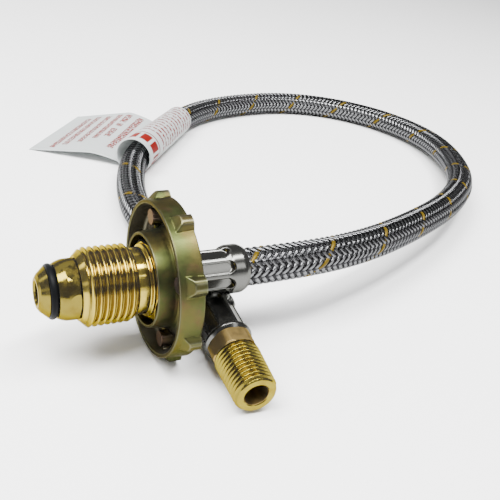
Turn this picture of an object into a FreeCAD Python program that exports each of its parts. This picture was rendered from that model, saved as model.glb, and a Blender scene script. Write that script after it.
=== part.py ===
import FreeCAD, Part
import math
import os
import re
import Sketcher

# Gas cylinder hose: a bullnose cylinder connector with its spinning nut and handwheel, a short braided
# hose that loops round and passes back under it, and a taper-threaded outlet.
# Frame: millimetres, +Z up. The X axis is the connector's axis, from its nose to the hose, and the
# origin lies on it at the nut's first full thread. The table is tableDrop below that axis.

doc = FreeCAD.newDocument("cylinder_hose")
sheet = doc.addObject("Spreadsheet::Sheet", "sizes")

drivingSizes = [
    # spigot: nose, seal groove, barrel, stem
    ("noseTip", 13.0, "nose tip ahead of the first thread"),
    ("tipRadius", 4.2, "flat of the nose tip"),
    ("coneRadius", 7.0, "nose cone where it meets the seal groove"),
    ("noseBore", 3.0, "gas way through the nose, radius"),
    ("tailBore", 2.2, "gas way through both hose tails, radius"),
    ("ringCentre", 9.3, "seal ring ahead of the first thread"),
    ("ringSection", 2.2, "seal ring's section, diameter"),
    ("grooveRadius", 5.5, "bottom of the seal groove"),
    ("barrelRadius", 8.85, "widest part of the nose barrel"),
    ("barrelFlatDepth", 0.42, "depth of the flats milled on the barrel"),
    ("barrelGap", 0.25, "barrel's back to the nut's face"),
    ("stemRadius", 6.1, "stem that the nut turns on"),
    ("runningGap", 0.05, "radial clearance of nut on stem"),
    # nut
    ("nutFront", 2.4, "nut's face ahead of the first thread"),
    ("nutFaceRadius", 9.0, "nut's face, outer radius"),
    ("threadRadius", 11.175, "nut thread's crest radius"),
    ("threadLength", 11.4, "nut thread's full length"),
    ("neckRadius", 9.65, "plain neck behind the thread"),
    ("neckEnd", 16.2, "end of the plain neck"),
    ("hexStart", 17.4, "front of the nut's hexagon"),
    ("hexFlats", 21.5, "nut's hexagon, across flats"),
    ("nutRear", 28.0, "back face of the nut"),
    # handwheel
    ("hubLip", 16.7, "front of the hub's lip"),
    ("hubRadius", 13.8, "hub, outer radius at the lip"),
    ("cupRadius", 13.0, "recess round the hexagon, radius"),
    ("cupFloor", 21.0, "floor of the recess round the hexagon"),
    ("rimFront", 19.3, "front edge of the rim"),
    ("wheelBack", 26.3, "back of the rim and web"),
    ("rimRadius", 22.9, "rim, outer radius at the front"),
    ("rimFlare", 0.5, "growth of the rim's radius to the back"),
    ("rimWall", 1.1, "rim's wall at the front edge"),
    ("webThickness", 2.2, "web between hub and rim"),
    ("hubBack", 27.6, "back of the hub"),
    ("lugHeight", 2.25, "finger lugs above the rim"),
    ("lugTop", 1.6, "width of a lug at its tip"),
    ("lugShoulder", 3.2, "width of a lug under its rounded tip"),
    ("lugBase", 6.6, "width of a lug at its root in the rim"),
    ("lugFront", 1.8, "front edge of the rim to the foot of a lug"),
    ("lugBevel", 1.9, "length of the slope at a lug's front"),
    ("ribThickness", 1.2, "ribs across the channel"),
    ("padHeight", 3.5, "pads above the channel's floor"),
    # crimped ferrules, both alike, along their own axis from the flange to the mouth
    ("ferruleStart", 29.3, "flange end of the inlet ferrule"),
    ("ferruleLength", 21.0, "length of a ferrule"),
    ("ferruleWall", 0.6, "wall of a ferrule"),
    ("crimpRadius", 6.65, "crimped length, outer radius"),
    ("crimpFlat", 6.15, "pressed flats, distance from the axis"),
    ("crimpFlatWidth", 3.9, "width of a pressed flat"),
    ("shoulderLength", 1.6, "slope from the crimped length to the collar"),
    ("collarLength", 3.8, "collar's full radius"),
    ("mouthLength", 2.0, "slope from the collar to the mouth"),
    ("collarRadius", 7.55, "collar, outer radius"),
    ("mouthRadius", 6.6, "mouth, outer radius"),
    ("fitGap", 0.05, "clearance of fixed round pieces"),
    ("flangeThickness", 1.0, "flange that locks on the fitting"),
    ("lockRadius", 4.9, "groove that the flange locks in"),
    # hose
    ("hoseRadius", 6.0, "braided hose, outer radius"),
    ("hoseBore", 3.0, "hose's bore, radius"),
    ("braidWall", 0.55, "thickness of the braid"),
    ("tailRoot", 2.7, "ferrule's flange to the hose tail's first barb"),
    ("barbRadius", 3.4, "crest of a barb"),
    ("barbStep", 0.4, "height of a barb"),
    # outlet nipple, along its own axis from the ferrule's flange to the thread's end
    ("nippleFlats", 13.0, "nipple's hexagon, across flats"),
    ("nippleCorner", 7.05, "nipple's hexagon, turned corner radius"),
    ("nippleHexEnd", 5.8, "end of the nipple's hexagon"),
    ("taperStart", 6.3, "start of the taper thread"),
    ("taperEnd", 20.4, "end of the taper thread"),
    ("taperLarge", 6.86, "taper thread, large radius"),
    ("taperSmall", 6.42, "taper thread, small radius"),
    ("nippleEnd", 21.6, "end face of the nipple"),
    ("nippleFace", 5.6, "end face, outer radius"),
    ("outletBore", 3.6, "outlet's bore, radius"),
    ("outletBoreDepth", 12.0, "depth of the outlet's wide bore"),
    # paper label: a loose sleeve and its flag
    ("labelWall", 0.4, "label's thickness"),
    ("sleeveWide", 8.4, "sleeve, outer radius at its open end"),
    ("sleeveNarrow", 7.2, "sleeve, outer radius at its tight end"),
    # standing surface
    ("tableDrop", 24.0, "table below the connector's axis"),
]
derivedSizes = [
    ("barrelFlats", "=2 * (barrelRadius - barrelFlatDepth)", "flats milled on the barrel, across"),
    ("lugRadius", "=rimRadius + lugHeight", "tips of the finger lugs"),
    ("channelInner", "=hubRadius + 1.0", "wheel's channel, inner radius of its floor"),
    ("channelOuter", "=rimRadius - rimWall - 1.2", "wheel's channel, outer radius of its floor"),
    ("padRadius", "=0.47 * (channelOuter - channelInner)", "round pads of the casting"),
    ("hubFillet", "=0.55 * (channelOuter - channelInner)", "flare from the hub into the channel"),
    ("rimFillet", "=0.2 * (channelOuter - channelInner)", "fillet from the channel into the rim"),
    ("collarEnd", "=ferruleLength - mouthLength", "flange to the end of the collar's full radius"),
    ("collarStart", "=collarEnd - collarLength", "flange to the start of the collar's full radius"),
    ("crimpEnd", "=collarStart - shoulderLength", "flange to the end of the crimped length"),
    ("squeezedEnd", "=collarStart + 0.4", "flange to where the hose has its full size"),
    ("tailLength", "=squeezedEnd - 0.3 - flangeThickness - tailRoot", "barbed length of a hose tail"),
]
for row, (alias, value, meaning) in enumerate(drivingSizes + derivedSizes, start=1):
    sheet.set("A%d" % row, meaning)
    sheet.set("B%d" % row, str(value))
    sheet.setAlias("B%d" % row, alias)
doc.recompute()

lugCount = 8
ribCount = 4
crimpCount = 8
barbCount = 4
stepLength = 0.4  # ring in which the hose narrows to its squeezed length
lugTurn = 19.5  # degrees from upright, so that the wheel stands on one lug
padTurn = lugTurn - 45
nutTurn = -17  # degrees, the nut's hexagon about its axis

# The hose's line on the table, chosen by hand: it leaves the inlet ferrule along X, loops round and
# ends at the outlet ferrule's mouth. The last run gives the outlet's direction.
hoseRoute = [
    (50.3, 0.0, 0.0),
    (74.0, 0.0, 0.0),
    (104.0, 8.5, -3.0),
    (136.0, 22.0, -5.5),
    (169.0, 39.5, -8.5),
    (200.1, 63.4, -11.8),
    (222.4, 94.4, -14.4),
    (234.5, 129.4, -16.5),
    (228.0, 163.0, -17.5),
    (205.2, 188.7, -18.0),
    (172.5, 199.3, -18.0),
    (132.8, 192.7, -17.9),
    (103.5, 177.8, -17.7),
    (78.5, 150.2, -17.5),
    (56.5, 124.7, -17.5),
    (45.5, 97.8, -17.9),
    (39.9, 70.7, -17.1),
    (41.5, 45.0, -14.6),
    (42.5, 22.9, -13.6),
    (41.2, 5.0, -14.6),
]
sleeveEnds = [(54.6, 120.6), (95.0, 168.2)]  # label's sleeve from above: open end, tight end
flagEdges = [
    ((57.0, 125.0), (16.0, 152.4), (0.22, 3.2), (0.42, 4.3)),
    ((91.4, 163.9), (49.1, 193.5), (0.24, 5.8), (0.46, 8.1)),
]  # flag's two edges from above, from under the sleeve to the far corner, then rise and crest: share, height


def size(alias):
    return float(sheet.get(alias))


def bound(text):
    """The expression with each alias read from the sheet."""
    return re.sub(r"\b[A-Za-z]\w*", lambda word: "sizes." + word.group(0), text)


def axisOf(body, role):
    return [feature for feature in body.Origin.OriginFeatures if feature.Role == role][0]


def newBody(label):
    body = doc.addObject("PartDesign::Body", label)
    body.Label = label
    return body


def newSketch(body, name, plane, turn=None, along="0"):
    """A sketch on one of the body's own planes, turned about its normal or X and moved along its normal."""
    sketch = body.newObject("Sketcher::SketchObject", name)
    sketch.AttachmentSupport = [(axisOf(body, plane), "")]
    sketch.MapMode = "FlatFace"
    if turn:
        sketch.AttachmentOffset = FreeCAD.Placement(FreeCAD.Vector(), turn)
    if along != "0":
        sketch.setExpression("AttachmentOffset.Base.z", bound(along))
    return sketch


def addPolygon(sketch, corners):
    """A closed outline with every corner's two distances bound to the sheet."""
    first = sketch.GeometryCount
    count = len(corners)
    spots = []
    for index in range(count):
        angle = 2 * math.pi * index / count
        spots.append(FreeCAD.Vector(20 * math.cos(angle), 20 * math.sin(angle), 0))
    lines = [Part.LineSegment(spots[index], spots[(index + 1) % count]) for index in range(count)]
    sketch.addGeometry(lines, False)
    for index in range(count):
        nextLine = first + (index + 1) % count
        sketch.addConstraint(Sketcher.Constraint("Coincident", first + index, 2, nextLine, 1))
    for index, (across, up) in enumerate(corners):
        line = first + index
        level = sketch.addConstraint(Sketcher.Constraint("DistanceX", -1, 1, line, 1, spots[index].x))
        sketch.setExpression("Constraints[%d]" % level, bound(across))
        height = sketch.addConstraint(Sketcher.Constraint("DistanceY", -1, 1, line, 1, spots[index].y))
        sketch.setExpression("Constraints[%d]" % height, bound(up))


def addCircle(sketch, across, up, radius):
    spot = FreeCAD.Vector(1, 1, 0)
    circle = sketch.addGeometry(Part.Circle(spot, FreeCAD.Vector(0, 0, 1), 1), False)
    values = [("DistanceX", spot.x, across), ("DistanceY", spot.y, up)]
    for kind, start, text in values:
        place = sketch.addConstraint(Sketcher.Constraint(kind, -1, 1, circle, 3, start))
        sketch.setExpression("Constraints[%d]" % place, bound(text))
    wide = sketch.addConstraint(Sketcher.Constraint("Radius", circle, 1))
    sketch.setExpression("Constraints[%d]" % wide, bound(radius))


def hexCorners(flats, turn):
    """Corners of a hexagon, the first at turn degrees from the sketch's X axis."""
    corners = []
    for step in range(6):
        angle = math.radians(turn + 60 * step)
        across = "%s * %.6f" % (flats, math.cos(angle) / math.sqrt(3))
        up = "%s * %.6f" % (flats, math.sin(angle) / math.sqrt(3))
        corners.append((across, up))
    return corners


def turned(body, name, corners):
    """A solid of revolution about X from an outline of (along, radius)."""
    sketch = newSketch(body, name + "Outline", "XY_Plane")
    addPolygon(sketch, corners)
    solid = body.newObject("PartDesign::Revolution", name)
    solid.Profile = sketch
    solid.ReferenceAxis = (sketch, ["H_Axis"])
    solid.Angle = 360
    doc.recompute()
    return solid


def cutAway(body, name, sketch, length, reversed=False):
    """A pocket that must remove material."""
    before = body.Shape.Volume
    pocket = body.newObject("PartDesign::Pocket", name)
    pocket.Profile = sketch
    pocket.Reversed = reversed
    pocket.setExpression("Length", bound(length))
    doc.recompute()
    if not body.Shape.Volume < before - 0.1:
        raise RuntimeError(name + " cut nothing")
    return pocket


def raised(body, name, sketch, length, symmetric=False, reversed=False):
    pad = body.newObject("PartDesign::Pad", name)
    pad.Profile = sketch
    pad.SideType = "Symmetric" if symmetric else "One side"
    pad.Reversed = reversed
    pad.setExpression("Length", bound(length))
    doc.recompute()
    return pad


def repeated(body, name, features, copies):
    """Copies of features spaced evenly round the X axis."""
    ring = body.newObject("PartDesign::PolarPattern", name)
    ring.Originals = features
    ring.Axis = (axisOf(body, "X_Axis"), [""])
    ring.Angle = 360
    ring.Occurrences = copies
    body.Tip = ring
    doc.recompute()
    return ring


def softened(body, name, circles, radius):
    """Fillets on round edges, each given by its place along X and its radius."""
    base = body.Tip
    names = []
    for index, edge in enumerate(base.Shape.Edges, start=1):
        if not isinstance(edge.Curve, Part.Circle):
            continue
        for along, wide in circles:
            if abs(edge.Curve.Center.x - along) < 1e-4 and abs(edge.Curve.Radius - wide) < 1e-4:
                names.append("Edge%d" % index)
    fillet = body.newObject("PartDesign::Fillet", name)
    fillet.Base = (base, sorted(set(names)))
    fillet.setExpression("Radius", bound(radius))
    doc.recompute()
    return fillet


def flatsCut(body, name, flats, turn, clearRadius, end, length):
    """Mills a hexagon's flats from a round blank, from end back over length."""
    sketch = newSketch(body, name + "Outline", "YZ_Plane", along=end)
    addCircle(sketch, "0", "0", clearRadius)
    addPolygon(sketch, hexCorners(flats, turn))
    return cutAway(body, name, sketch, length)


def barbCorners(root, direction):
    """Barbs of a hose tail, from root on towards the hose."""
    corners = []
    for step in range(barbCount):
        start = "%s %s tailLength * %.4f" % (root, direction, step / barbCount)
        crest = "%s %s tailLength * %.4f" % (root, direction, (step + 0.82) / barbCount)
        corners.append((start, "barbRadius"))
        corners.append((start, "barbRadius - barbStep"))
        corners.append((crest, "barbRadius"))
    return corners[2:]


def makeSpigot():
    """Nose, seal groove, barrel, stem and barbed tail in one bored turning."""
    body = newBody("bullnose_spigot")
    groove = "ringSection * 0.54"
    barrelBack = "-nutFront - barrelGap"
    lock = "ferruleStart"
    tail = "ferruleStart + flangeThickness + tailRoot"
    corners = [
        ("-noseTip", "noseBore + 0.5"),
        ("-noseTip", "tipRadius"),
        ("-noseTip + 0.6", "tipRadius + 1.0"),
        ("-ringCentre - %s" % groove, "coneRadius"),
        ("-ringCentre - %s" % groove, "grooveRadius"),
        ("-ringCentre + %s" % groove, "grooveRadius"),
        ("-ringCentre + %s" % groove, "barrelRadius - 1.25"),
        (barrelBack + " - 4.3", "barrelRadius - 0.72"),
        (barrelBack + " - 3.2", "barrelRadius - 0.36"),
        (barrelBack + " - 2.0", "barrelRadius - 0.09"),
        (barrelBack + " - 1.2", "barrelRadius"),
        (barrelBack + " - 0.3", "barrelRadius"),
        (barrelBack, "barrelRadius - 0.35"),
        (barrelBack, "stemRadius"),
        (lock + " - fitGap", "stemRadius"),
        (lock + " - fitGap", "lockRadius"),
        (lock + " + flangeThickness + fitGap", "lockRadius"),
        (lock + " + flangeThickness + fitGap", "lockRadius + 0.4"),
        (tail, "lockRadius + 0.4"),
        (tail, "barbRadius - barbStep"),
    ]
    corners += barbCorners(tail, "+")
    corners += [
        (tail + " + tailLength", "barbRadius - barbStep"),
        (tail + " + tailLength", "tailBore"),
        ("threadLength + 8", "tailBore"),
        ("threadLength + 8", "noseBore"),
        ("-noseTip + 0.5", "noseBore"),
    ]
    turned(body, "spigotTurning", corners)
    barrelLength = "ringCentre - %s - nutFront - barrelGap" % groove
    flatsCut(body, "barrelFlatsCut", "barrelFlats", 25.6, "barrelRadius + 2", barrelBack, barrelLength)
    return body


def makeRing():
    """Rubber ring in the nose's groove."""
    body = newBody("nose_o_ring")
    sketch = newSketch(body, "ringSectionOutline", "XY_Plane")
    addCircle(sketch, "-ringCentre", "grooveRadius + ringSection / 2", "ringSection / 2")
    ring = body.newObject("PartDesign::Revolution", "ringTurning")
    ring.Profile = sketch
    ring.ReferenceAxis = (sketch, ["H_Axis"])
    ring.Angle = 360
    doc.recompute()
    return body


def makeNut():
    """Left-hand coupling nut: thread blank, plain neck, flare and hexagon."""
    body = newBody("coupling_nut")
    hexCorner = "hexFlats * %.6f" % (1 / math.sqrt(3))
    corners = [
        ("-nutFront", "stemRadius + runningGap + 0.8"),
        ("-nutFront", "nutFaceRadius"),
        ("0", "threadRadius"),
        ("threadLength", "threadRadius"),
        ("threadLength + threadRadius - neckRadius", "neckRadius"),
        ("neckEnd", "neckRadius"),
        ("neckEnd + 0.5", "neckRadius + 0.9"),
        ("hexStart", "neckRadius + 0.9"),
        ("hexStart", "hexFlats / 2"),
        ("hexStart + 0.9", hexCorner),
        ("nutRear - 0.9", hexCorner),
        ("nutRear", "hexFlats / 2"),
        ("nutRear", "stemRadius + runningGap"),
        ("-nutFront + 0.8", "stemRadius + runningGap"),
    ]
    turned(body, "nutTurning", corners)
    flatsCut(body, "nutHexCut", "hexFlats", nutTurn, hexCorner + " + 2", "nutRear", "nutRear - hexStart")
    return body


def makeHandwheel():
    """Die-cast wheel pressed on the nut: cupped hub, dished channel, flared rim, lugs, ribs and pads."""
    body = newBody("handwheel")
    floor = "wheelBack - webThickness"
    corners = [
        ("cupFloor", "hexFlats / 2 - 0.2"),
        ("cupFloor", "cupRadius"),
        ("hubLip", "cupRadius"),
        ("hubLip", "hubRadius"),
        (floor, "channelInner"),
        (floor, "channelOuter"),
        ("rimFront", "rimRadius - rimWall"),
        ("rimFront", "rimRadius"),
        ("wheelBack", "rimRadius + rimFlare"),
        ("wheelBack", "hubRadius + 1.2"),
        ("hubBack", "hubRadius + 0.4"),
        ("hubBack", "hexFlats / 2 - 0.2"),
    ]
    turned(body, "wheelTurning", corners)
    floorPlace = size("wheelBack") - size("webThickness")
    softened(body, "hubFlare", [(floorPlace, size("channelInner"))], "hubFillet")
    softened(body, "rimFlareInside", [(floorPlace, size("channelOuter"))], "rimFillet")
    socket = newSketch(body, "socketOutline", "YZ_Plane", along="hubBack")
    addPolygon(socket, hexCorners("hexFlats", nutTurn))
    cutAway(body, "hexSocket", socket, "hubBack - cupFloor")

    lugAngle = FreeCAD.Rotation(FreeCAD.Vector(0, 0, 1), lugTurn)
    lugRoot = "rimRadius - rimWall / 2"
    lugOutline = [
        ("lugBase / 2", lugRoot),
        ("lugShoulder / 2", "lugRadius - 0.4"),
        ("lugTop / 2", "lugRadius"),
    ]
    footOutline = [
        ("lugBase / 2 - 0.4", lugRoot),
        ("lugBase / 2 - 0.9", "rimRadius - 0.15"),
        ("lugTop / 2", "rimRadius"),
    ]
    sections = [
        ("lugBackOutline", "wheelBack", lugOutline),
        ("lugRidgeOutline", "rimFront + lugFront + lugBevel", lugOutline),
        ("lugFrontOutline", "rimFront + lugFront", footOutline),
    ]
    sketches = []
    for name, place, outline in sections:
        sketch = newSketch(body, name, "YZ_Plane", lugAngle, place)
        mirrored = [("-(" + across + ")", radius) for across, radius in outline]
        addPolygon(sketch, mirrored + outline[::-1])
        sketches.append(sketch)
    lug = body.newObject("PartDesign::AdditiveLoft", "lug")
    lug.Profile = sketches[0]
    lug.Sections = sketches[1:]
    lug.Ruled = True
    doc.recompute()
    repeated(body, "lugs", [lug], lugCount)

    ribAngle = FreeCAD.Rotation(FreeCAD.Vector(1, 0, 0), padTurn)
    ribSketch = newSketch(body, "ribOutline", "XZ_Plane", ribAngle)
    addPolygon(ribSketch, [
        ("rimFront + 2.4", "hubRadius"),
        ("rimFront + 2.4", "rimRadius - rimWall / 2"),
        ("wheelBack - webThickness / 2", "rimRadius - rimWall / 2"),
        ("wheelBack - webThickness / 2", "hubRadius"),
    ])
    rib = raised(body, "rib", ribSketch, "ribThickness", symmetric=True)
    padAngle = FreeCAD.Rotation(FreeCAD.Vector(0, 0, 1), padTurn)
    padSketch = newSketch(body, "padOutline", "YZ_Plane", padAngle, floor + " - padHeight")
    addCircle(padSketch, "0", "(channelInner + channelOuter) / 2", "padRadius")
    pad = raised(body, "pad", padSketch, "padHeight + webThickness / 2")
    repeated(body, "ribsAndPads", [rib, pad], ribCount)
    return body


def makeFerrule(label):
    """Pressed steel sleeve, flange first: eight crimp flats, then a rolled collar and its mouth."""
    body = newBody(label)
    hoseMouth = "hoseRadius + 3 * fitGap"
    corners = [
        ("0", "lockRadius + fitGap"),
        ("0", "crimpRadius"),
        ("0.4", "crimpRadius + 0.25"),
        ("1.4", "crimpRadius + 0.25"),
        ("2.0", "crimpRadius"),
        ("crimpEnd", "crimpRadius"),
        ("collarStart", "collarRadius"),
        ("collarEnd", "collarRadius"),
        ("ferruleLength", "mouthRadius"),
        ("ferruleLength", hoseMouth),
        ("collarEnd + ferruleWall / 2", hoseMouth),
        ("collarEnd - ferruleWall / 2", "collarRadius - ferruleWall"),
        ("collarStart + ferruleWall", "collarRadius - ferruleWall"),
        ("crimpEnd + 1.0", "crimpFlat - ferruleWall"),
        ("flangeThickness", "crimpFlat - ferruleWall"),
        ("flangeThickness", "lockRadius + fitGap"),
    ]
    turned(body, "ferruleTurning", corners)
    collar = [(size("collarStart"), size("collarRadius")), (size("collarEnd"), size("collarRadius"))]
    softened(body, "collarRolls", collar, "collarLength * 0.42")

    flat = newSketch(body, "crimpFlatOutline", "XY_Plane", along="crimpFlat")
    addCrimpSlot(flat)
    pocket = cutAway(body, "crimpFlatPress", flat, "collarRadius - crimpFlat", reversed=True)
    repeated(body, "crimpFlats", [pocket], crimpCount)
    return body


def addCrimpSlot(sketch):
    """A flat along X that runs off the flange end and ends round in the collar's shoulder."""
    near, far, half = -5.0, 9.0, 1.0
    middle = FreeCAD.Vector(0, 0, 1)
    quarter = math.pi / 2
    ends = [(near, quarter, 3 * quarter), (far, -quarter, quarter)]
    arcs = []
    for place, start, stop in ends:
        circle = Part.Circle(FreeCAD.Vector(place, 0, 0), middle, half)
        arcs.append(Part.ArcOfCircle(circle, start, stop))
    sides = [
        Part.LineSegment(FreeCAD.Vector(near, -half, 0), FreeCAD.Vector(far, -half, 0)),
        Part.LineSegment(FreeCAD.Vector(far, half, 0), FreeCAD.Vector(near, half, 0)),
    ]
    sketch.addGeometry([arcs[0], sides[0], arcs[1], sides[1]], False)
    sketch.addConstraint([
        Sketcher.Constraint("Tangent", 0, 2, 1, 1),
        Sketcher.Constraint("Tangent", 1, 2, 2, 1),
        Sketcher.Constraint("Tangent", 2, 2, 3, 1),
        Sketcher.Constraint("Tangent", 3, 2, 0, 1),
        Sketcher.Constraint("PointOnObject", 0, 3, -1),
        Sketcher.Constraint("PointOnObject", 2, 3, -1),
    ])
    values = [
        ("radius", Sketcher.Constraint("Radius", 0, half), "crimpFlatWidth / 2"),
        ("near", Sketcher.Constraint("DistanceX", 0, 3, -1, 1, -near), "crimpFlatWidth"),
        ("far", Sketcher.Constraint("DistanceX", -1, 1, 2, 3, far), "crimpEnd + 0.8 - crimpFlatWidth / 2"),
    ]
    for name, constraint, text in values:
        index = sketch.addConstraint(constraint)
        sketch.renameConstraint(index, name)
        sketch.setExpression("Constraints." + name, bound(text))


def makeNipple():
    """Outlet: barbed tail, hexagon and taper thread blank, from the tail's end to the outlet's face."""
    body = newBody("outlet_nipple")
    tail = "-flangeThickness - tailRoot"
    corners = [
        ("fitGap", "lockRadius"),
        ("fitGap", "nippleCorner - 0.35"),
        ("fitGap + 0.4", "nippleCorner"),
        ("nippleHexEnd - 0.4", "nippleCorner"),
        ("nippleHexEnd", "nippleCorner - 0.35"),
        ("nippleHexEnd", "taperLarge - 0.5"),
        ("taperStart", "taperLarge - 0.5"),
        ("taperStart", "taperLarge"),
        ("taperEnd", "taperSmall"),
        ("nippleEnd", "nippleFace"),
        ("nippleEnd", "outletBore + 0.3"),
        ("nippleEnd - 0.3", "outletBore"),
        ("nippleEnd - outletBoreDepth", "outletBore"),
        ("nippleEnd - outletBoreDepth", "tailBore"),
        (tail + " - tailLength", "tailBore"),
        (tail + " - tailLength", "barbRadius - barbStep"),
    ]
    corners += reversed(barbCorners(tail, "-"))
    corners += [
        (tail, "barbRadius - barbStep"),
        (tail, "lockRadius + 0.4"),
        ("-flangeThickness - fitGap", "lockRadius + 0.4"),
        ("-flangeThickness - fitGap", "lockRadius"),
    ]
    turned(body, "nippleTurning", corners)
    hexLength = "nippleHexEnd - fitGap"
    flatsCut(body, "nippleHexCut", "nippleFlats", 0, "nippleCorner + 2", "nippleHexEnd", hexLength)
    return body


def routePoints():
    """The hand-chosen route, with its first point held at the inlet ferrule's mouth."""
    points = [FreeCAD.Vector(*point) for point in hoseRoute]
    points[0] = FreeCAD.Vector(size("ferruleStart") + size("ferruleLength"), 0, 0)
    return points


def roundedPath(points):
    """Straight runs joined by tangent arcs as large as the runs allow."""
    edges = []
    smallest = None
    start = points[0]
    for before, corner, after in zip(points, points[1:], points[2:]):
        into = corner.sub(before)
        out = after.sub(corner)
        reach = 0.45 * min(into.Length, out.Length)
        turn = into.getAngle(out)
        radius = reach / math.tan(turn / 2)
        into.normalize()
        out.normalize()
        arcStart = corner.sub(into * reach)
        arcEnd = corner.add(out * reach)
        inward = out.sub(into)
        inward.normalize()
        middle = corner.add(inward * (radius / math.cos(turn / 2) - radius))
        edges.append(Part.LineSegment(start, arcStart).toShape())
        edges.append(Part.Arc(arcStart, middle, arcEnd).toShape())
        print("hose turn %5.1f degrees, radius %6.1f mm" % (math.degrees(turn), radius))
        smallest = radius if smallest is None else min(smallest, radius)
        start = arcEnd
    edges.append(Part.LineSegment(start, points[-1]).toShape())
    print("smallest radius %.1f mm" % smallest)
    return Part.Wire(edges)


def ringFace(centre, direction, inner, outer):
    big = Part.Face(Part.Wire(Part.makeCircle(outer, centre, direction)))
    small = Part.Face(Part.Wire(Part.makeCircle(inner, centre, direction)))
    return big.cut(small).Faces[0]


def tubeAlong(path, inner, outer):
    """A hollow tube along the path, checked against section times length."""
    first = path.Edges[0]
    face = ringFace(first.valueAt(first.FirstParameter), first.tangentAt(first.FirstParameter), inner, outer)
    tube = path.makePipe(face)
    wanted = math.pi * (outer ** 2 - inner ** 2) * path.Length
    print("tube volume %.0f of %.0f cubic mm" % (tube.Volume, wanted))
    if abs(tube.Volume - wanted) > 0.01 * wanted:
        raise RuntimeError("hose tube lost volume")
    return tube


def pressedLength(mouth, inward, inner, outer, wideInner, wideOuter):
    """The hose inside a ferrule: squeezed over the tail, full size from the collar on."""
    length = size("ferruleLength")
    end = length - size("flangeThickness") - size("tailRoot") - 0.3
    start = length - size("squeezedEnd")
    squeezed = ringFace(mouth.add(inward * start), inward, inner, outer)
    squeezed = squeezed.extrude(inward * (end - start))
    step = ringFace(mouth.add(inward * (start - stepLength)), inward, wideInner, wideOuter)
    step = step.extrude(inward * stepLength)
    return squeezed.fuse(step)


def makeHoseLayer(label, inner, outer, squeezedInner, squeezedOuter, stepInner, stepOuter):
    """One layer of the hose, from tail to tail."""
    points = routePoints()
    inletIn = FreeCAD.Vector(-1, 0, 0)
    outletIn = points[-1].sub(points[-2])
    outletIn.normalize()
    inside = size("ferruleLength") - size("squeezedEnd") - stepLength
    line = list(points)
    line[0] = points[0].add(inletIn * inside)
    line[-1] = points[-1].add(outletIn * inside)
    tube = tubeAlong(roundedPath(line), inner, outer)
    for mouth, inward in ((points[0], inletIn), (points[-1], outletIn)):
        pressed = pressedLength(mouth, inward, squeezedInner, squeezedOuter, stepInner, stepOuter)
        tube = tube.fuse(pressed)
    layer = doc.addObject("Part::Feature", label)
    layer.Shape = tube.removeSplitter()
    layer.Label = label
    layer.Placement = FreeCAD.Placement()
    return layer


def makeHose():
    bore = size("hoseBore")
    full = size("hoseRadius")
    braidInner = full - size("braidWall")
    gap = size("fitGap")
    tailCrest = size("barbRadius") + gap
    crimpBore = size("crimpFlat") - size("ferruleWall") - gap
    split = crimpBore - 0.5
    makeHoseLayer("hose_liner", bore, braidInner - gap, tailCrest, split - gap, bore, split - gap)
    makeHoseLayer("hose_braid", braidInner, full, split, crimpBore, split, full)


def flagSection(near, far, rise, crest):
    """One edge of the flag: from the hose up to a crest, then straight down to the table."""
    wall = size("labelWall")
    table = -size("tableDrop")
    start = FreeCAD.Vector(near[0], near[1], table)
    foot = FreeCAD.Vector(far[0], far[1], table)
    middle = start + (foot - start) * rise[0] + FreeCAD.Vector(0, 0, rise[1])
    top = start + (foot - start) * crest[0] + FreeCAD.Vector(0, 0, crest[1])
    up = FreeCAD.Vector(0, 0, wall)
    edges = [
        Part.Arc(start, middle, top),
        Part.LineSegment(top, foot),
        Part.LineSegment(foot, foot.add(up)),
        Part.LineSegment(foot.add(up), top.add(up)),
        Part.Arc(top.add(up), middle.add(up), start.add(up)),
        Part.LineSegment(start.add(up), start),
    ]
    return Part.Wire([edge.toShape() for edge in edges])


def makeLabel():
    """Paper label: a cone-shaped sleeve round the hose and a flag that arches down to the table."""
    wall = size("labelWall")
    wide = size("sleeveWide")
    narrow = size("sleeveNarrow")
    table = -size("tableDrop")
    openEnd = FreeCAD.Vector(sleeveEnds[0][0], sleeveEnds[0][1], table + wide)
    tightEnd = FreeCAD.Vector(sleeveEnds[1][0], sleeveEnds[1][1], table + narrow)
    axis = tightEnd.sub(openEnd)
    outside = Part.makeCone(wide, narrow, axis.Length, openEnd, axis)
    inside = Part.makeCone(wide - wall, narrow - wall, axis.Length, openEnd, axis)
    flag = Part.makeLoft([flagSection(*edge) for edge in flagEdges], True, True)
    label = doc.addObject("Part::Feature", "wrap_label")
    label.Shape = outside.fuse(flag).cut(inside).removeSplitter()
    label.Label = "wrap_label"
    label.Placement = FreeCAD.Placement()
    return label


def placeOutlet(ferrule, nipple):
    """Ferrule and nipple in line with the route's last run."""
    points = routePoints()
    outward = points[-1].sub(points[-2])
    outward.normalize()
    along = FreeCAD.Vector(1, 0, 0)
    flange = points[-1].add(outward * size("ferruleLength"))
    ferrule.Placement = FreeCAD.Placement(flange, FreeCAD.Rotation(along, outward * -1))
    nipple.Placement = FreeCAD.Placement(flange, FreeCAD.Rotation(along, outward))
    print("outlet face at", flange.add(outward * size("nippleEnd")), "direction", outward)


makeSpigot()
makeRing()
makeNut()
makeHandwheel()
inletFerrule = makeFerrule("inlet_ferrule")
inletFerrule.setExpression("Placement.Base.x", bound("ferruleStart"))
outletFerrule = makeFerrule("outlet_ferrule")
placeOutlet(outletFerrule, makeNipple())
makeHose()
makeLabel()
doc.recompute()

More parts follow.
